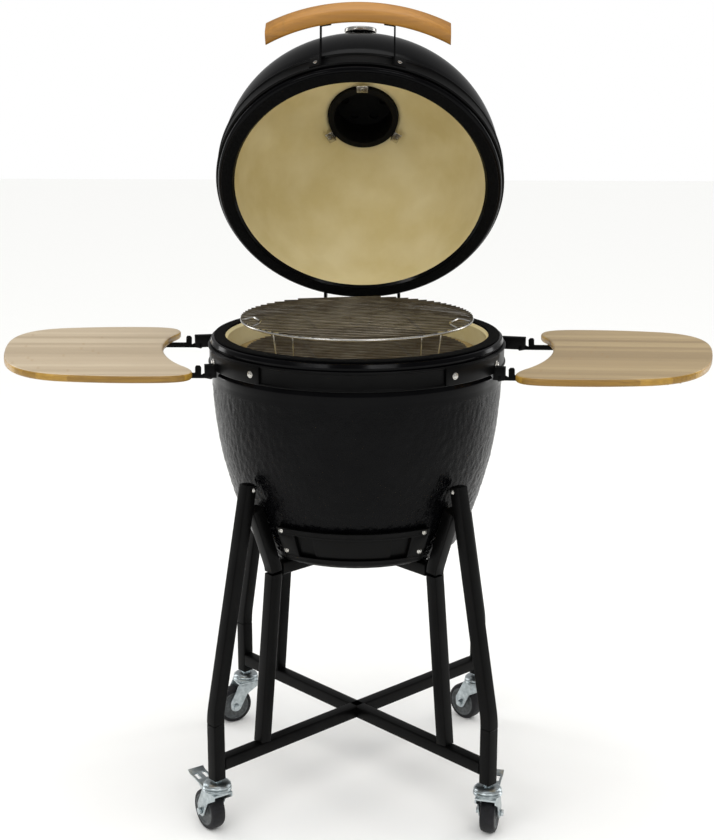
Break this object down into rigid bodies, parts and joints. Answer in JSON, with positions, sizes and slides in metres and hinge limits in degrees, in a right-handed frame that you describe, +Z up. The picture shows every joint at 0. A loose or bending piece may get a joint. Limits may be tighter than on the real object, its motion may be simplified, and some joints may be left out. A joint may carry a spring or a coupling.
{
  "type": "kamado_ceramic_grill",
  "caption": "Black glazed kamado ceramic grill with opening lid, draft vents, wire grates and folding bamboo side shelves, on a wheeled black stand.",
  "frame": {"origin": "on the floor, under the middle of the whole box, 92.8 mm behind the bowl axis", "axes": "+Z up, -Y to the front where the lid opens, +X to the right seen from the front"},
  "size_m": [1.3064, 0.7341, 1.4744],
  "materials": {
    "black_glaze": "high gloss black glaze outside, bare tan clay inside",
    "fire_clay": "unglazed, matt, slightly sooted",
    "felt": "pressed felt",
    "black_powder_coat": "satin powder coat with fine texture",
    "stainless": "drawn wire and brushed sheet",
    "cast_iron": "matt, fine sand texture",
    "bamboo": "laminated strips, satin oil",
    "zinc_plate": "bright zinc plating",
    "tyre_rubber": "smooth black tread"
  },
  "bodies": {
    "stand_and_bowl": {"leg_front_left": "black_powder_coat", "leg_front_right": "black_powder_coat", "leg_rear_left": "black_powder_coat", "leg_rear_right": "black_powder_coat", "inner_post_front_left": "black_powder_coat", "inner_post_front_right": "black_powder_coat", "inner_post_rear_left": "black_powder_coat", "inner_post_rear_right": "black_powder_coat", "lower_cross": "black_powder_coat", "upper_cross": "black_powder_coat", "caster_head_front_left": "zinc_plate", "caster_head_front_right": "zinc_plate", "caster_head_rear_left": "zinc_plate", "caster_head_rear_right": "zinc_plate", "bowl_shell": "black_glaze", "bowl_gasket": "felt", "bowl_band": "black_powder_coat", "fire_box": "fire_clay", "fire_ring": "fire_clay", "draft_frame": "black_powder_coat", "bowl_hinge_plate": "black_powder_coat", "hinge_pin": "zinc_plate", "hinge_spring_left": "zinc_plate", "hinge_spring_right": "zinc_plate", "shelf_bracket_left_front": "black_powder_coat", "shelf_bracket_left_rear": "black_powder_coat", "shelf_bracket_right_front": "black_powder_coat", "shelf_bracket_right_rear": "black_powder_coat"},
    "lid": {"lid_dome": "black_glaze", "lid_gasket": "felt", "lid_band": "black_powder_coat", "lid_handle": "bamboo", "handle_bracket_left": "stainless", "handle_bracket_right": "stainless", "thermometer": "stainless", "vent_base": "cast_iron", "lid_hinge_plate": "black_powder_coat"},
    "vent_cap": {"vent_cap": "cast_iron"},
    "daisy_wheel": {"daisy_wheel": "cast_iron"},
    "draft_door": {"draft_door": "stainless"},
    "charcoal_grate": {"charcoal_grate": "cast_iron"},
    "main_grate": {"main_grate": "stainless"},
    "upper_grate": {"upper_grate": "stainless"},
    "shelf_left": {"shelf_left": "bamboo", "shelf_arm_left_front": "black_powder_coat", "shelf_arm_left_rear": "black_powder_coat"},
    "shelf_right": {"shelf_right": "bamboo", "shelf_arm_right_front": "black_powder_coat", "shelf_arm_right_rear": "black_powder_coat"},
    "caster_front_left": {"caster_fork_front_left": "zinc_plate"},
    "wheel_front_left": {"caster_wheel_front_left": "tyre_rubber"},
    "brake_pedal_front_left": {"brake_pedal_front_left": "zinc_plate"},
    "caster_front_right": {"caster_fork_front_right": "zinc_plate"},
    "wheel_front_right": {"caster_wheel_front_right": "tyre_rubber"},
    "brake_pedal_front_right": {"brake_pedal_front_right": "zinc_plate"},
    "caster_rear_left": {"caster_fork_rear_left": "zinc_plate"},
    "wheel_rear_left": {"caster_wheel_rear_left": "tyre_rubber"},
    "caster_rear_right": {"caster_fork_rear_right": "zinc_plate"},
    "wheel_rear_right": {"caster_wheel_rear_right": "tyre_rubber"}
  },
  "joints": [
    {"name": "lid_hinge", "type": "hinge", "parent": "stand_and_bowl", "child": "lid", "pos_m": [0, 0.1912, 0.882], "axis": [1, 0, 0], "range_deg": [0, 58.8]},
    {"name": "vent_cap_swing", "type": "hinge", "parent": "lid", "child": "vent_cap", "pos_m": [0, 0.35739, 1.21413], "axis": [0, 0.8554, 0.518], "range_deg": [0, 100]},
    {"name": "daisy_turn", "type": "hinge", "parent": "vent_cap", "child": "daisy_wheel", "pos_m": [0, 0.31882, 1.29131], "axis": [0, 0.8554, 0.518], "range_deg": [0, 30]},
    {"name": "draft_slide", "type": "hinge", "parent": "stand_and_bowl", "child": "draft_door", "pos_m": [0, -0.0928, 0.538], "axis": [0, 0, 1], "range_deg": [-13, 13]},
    {"name": "charcoal_grate_lift", "type": "slide", "parent": "stand_and_bowl", "child": "charcoal_grate", "axis": [0, 0, 1], "range_m": [0, 0.2]},
    {"name": "main_grate_lift", "type": "slide", "parent": "stand_and_bowl", "child": "main_grate", "axis": [0, 0, 1], "range_m": [0, 0.03]},
    {"name": "upper_grate_lift", "type": "slide", "parent": "main_grate", "child": "upper_grate", "axis": [0, 0, 1], "range_m": [0, 0.03]},
    {"name": "shelf_fold_left", "type": "hinge", "parent": "stand_and_bowl", "child": "shelf_left", "pos_m": [-0.28498, -0.07579, 0.83], "axis": [0.1977, -0.9803, 0], "range_deg": [0, 88]},
    {"name": "shelf_fold_right", "type": "hinge", "parent": "stand_and_bowl", "child": "shelf_right", "pos_m": [0.28498, -0.07579, 0.83], "axis": [0.1977, 0.9803, 0], "range_deg": [0, 88]},
    {"name": "swivel_front_left", "type": "hinge", "parent": "stand_and_bowl", "child": "caster_front_left", "pos_m": [-0.24501, -0.33781, 0.0985], "axis": [0, 0, 1], "continuous": true},
    {"name": "roll_front_left", "type": "hinge", "parent": "caster_front_left", "child": "wheel_front_left", "pos_m": [-0.26265, -0.31354, 0.0375], "axis": [-0.809, -0.5878, 0], "continuous": true},
    {"name": "brake_front_left", "type": "hinge", "parent": "caster_front_left", "child": "brake_pedal_front_left", "pos_m": [-0.26265, -0.31354, 0.083], "axis": [-0.809, -0.5878, 0], "range_deg": [0, 11]},
    {"name": "swivel_front_right", "type": "hinge", "parent": "stand_and_bowl", "child": "caster_front_right", "pos_m": [0.24501, -0.33781, 0.0985], "axis": [0, 0, 1], "continuous": true},
    {"name": "roll_front_right", "type": "hinge", "parent": "caster_front_right", "child": "wheel_front_right", "pos_m": [0.25176, -0.30858, 0.0375], "axis": [-0.9744, 0.225, 0], "continuous": true},
    {"name": "brake_front_right", "type": "hinge", "parent": "caster_front_right", "child": "brake_pedal_front_right", "pos_m": [0.25176, -0.30858, 0.083], "axis": [-0.9744, 0.225, 0], "range_deg": [0, 11]},
    {"name": "swivel_rear_left", "type": "hinge", "parent": "stand_and_bowl", "child": "caster_rear_left", "pos_m": [-0.24501, 0.15221, 0.0985], "axis": [0, 0, 1], "continuous": true},
    {"name": "roll_rear_left", "type": "hinge", "parent": "caster_rear_left", "child": "wheel_rear_left", "pos_m": [-0.2715, 0.13813, 0.0375], "axis": [0.4695, -0.8829, 0], "continuous": true},
    {"name": "swivel_rear_right", "type": "hinge", "parent": "stand_and_bowl", "child": "caster_rear_right", "pos_m": [0.24501, 0.15221, 0.0985], "axis": [0, 0, 1], "continuous": true},
    {"name": "roll_rear_right", "type": "hinge", "parent": "caster_rear_right", "child": "wheel_rear_right", "pos_m": [0.2238, 0.17343, 0.0375], "axis": [-0.7071, -0.7071, 0], "continuous": true}
  ]
}
